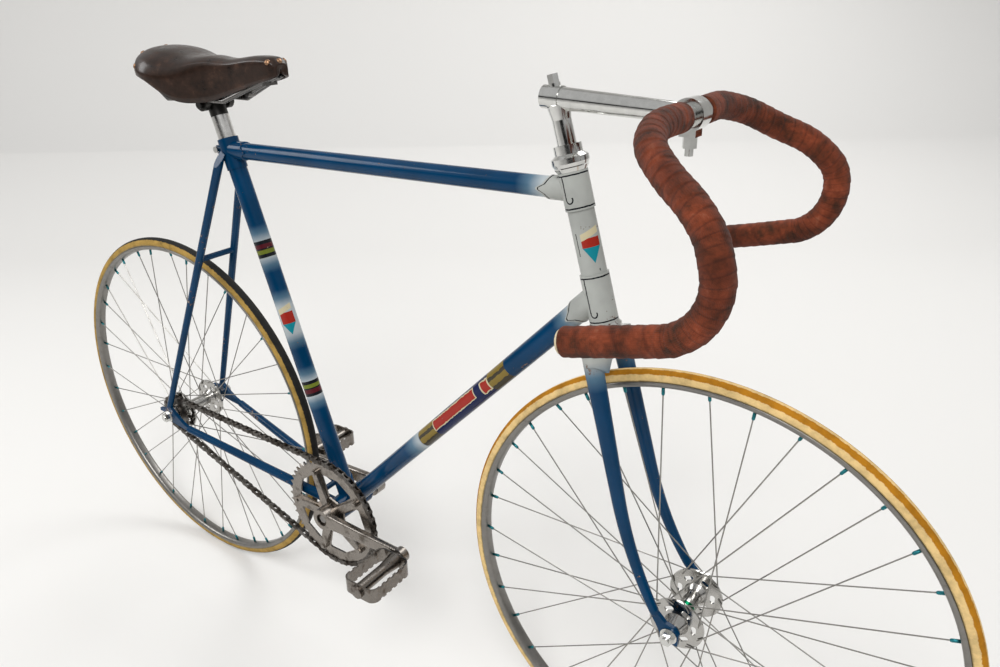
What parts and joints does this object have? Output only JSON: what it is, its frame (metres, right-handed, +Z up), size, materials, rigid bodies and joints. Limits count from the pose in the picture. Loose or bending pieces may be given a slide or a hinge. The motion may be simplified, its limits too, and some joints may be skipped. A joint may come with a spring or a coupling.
{
  "type": "track racing bicycle",
  "caption": "Steel track bicycle with lugged frame, drop bars wound with cloth tape, leather saddle, spoked wheels, fixed gear chain drive and quill pedals.",
  "frame": {"origin": "top of the saddle, where the rider sits", "axes": "+X forward, +Y to the rider's left, +Z up"},
  "size_m": [1.688, 0.4264, 1.0027],
  "materials": {
    "frame_paint": "deep blue enamel, chipped",
    "lug_paint": "pale grey enamel with dark lining",
    "chrome": "polished, a little dull",
    "steel": "worn steel",
    "alloy": "polished alloy",
    "hub": "polished alloy",
    "rim": "dull grey alloy",
    "spoke": "plain steel",
    "front_tyre": "amber tread, cream sidewalls",
    "rear_tyre": "black tread, amber sidewalls",
    "tape": "wound cloth tape",
    "plug": "cream plugs",
    "chain_steel": "dark and oily",
    "leather": "dark brown, polished by use"
  },
  "bodies": {
    "frame": {"head_tube": "frame_paint", "top_tube": "frame_paint", "down_tube": "frame_paint", "seat_tube": "frame_paint", "upper_head_lug": "lug_paint", "lower_head_lug": "lug_paint", "seat_lug": "lug_paint", "bottom_bracket_shell": "frame_paint", "rear_dropouts": "frame_paint", "seat_stays": "frame_paint", "chain_stays": "frame_paint", "brake_bridge": "frame_paint", "chain_stay_bridge": "frame_paint", "headset_cups": "chrome", "rear_axle": "steel", "chain": "chain_steel", "seat_post": "alloy", "saddle_clamp": "steel", "saddle_rails": "chrome", "saddle_cover": "leather", "seat_binder_bolt": "chrome"},
    "steering": {"fork_steerer": "steel", "headset_races": "chrome", "fork_crown": "lug_paint", "fork_blades": "frame_paint", "fork_tips": "chrome", "stem": "chrome", "expander_bolt": "chrome", "handlebar": "chrome", "tape_right": "tape", "tape_left": "tape", "bar_end_plugs": "plug", "front_axle": "steel"},
    "front_wheel": {"front_tyre": "front_tyre", "front_rim": "rim", "front_spokes": "spoke", "front_hub": "hub"},
    "rear_wheel": {"rear_tyre": "rear_tyre", "rear_rim": "rim", "rear_spokes": "spoke", "rear_hub": "hub", "sprocket": "steel"},
    "cranks": {"chainring": "alloy", "crank_right": "alloy", "crank_left": "alloy", "crank_spindle": "steel", "pedal_spindles": "steel"},
    "pedal_right": {"pedal_right": "chrome"},
    "pedal_left": {"pedal_left": "chrome"}
  },
  "joints": [
    {"name": "steering_turn", "type": "hinge", "parent": "frame", "child": "steering", "pos_m": [0.69956, 0, -0.28239], "axis": [-0.2656, 0, 0.9641], "range_deg": [-110, 110]},
    {"name": "front_wheel_spin", "type": "hinge", "parent": "steering", "child": "front_wheel", "pos_m": [0.83519, 0, -0.65578], "axis": [0, 1, 0], "continuous": true},
    {"name": "rear_wheel_spin", "type": "hinge", "parent": "frame", "child": "rear_wheel", "pos_m": [-0.18281, 0, -0.65578], "axis": [0, 1, 0], "continuous": true},
    {"name": "crank_spin", "type": "hinge", "parent": "frame", "child": "cranks", "pos_m": [0.22519, 0, -0.72678], "axis": [0, 1, 0], "continuous": true},
    {"name": "right_pedal_spin", "type": "hinge", "parent": "cranks", "child": "pedal_right", "pos_m": [0.39519, 0, -0.72678], "axis": [0, 1, 0], "continuous": true},
    {"name": "left_pedal_spin", "type": "hinge", "parent": "cranks", "child": "pedal_left", "pos_m": [0.05519, 0, -0.72678], "axis": [0, 1, 0], "continuous": true}
  ],
  "couplings": [
    {"joint": "crank_spin", "follows": "rear_wheel_spin", "ratio": 0.33333}
  ]
}
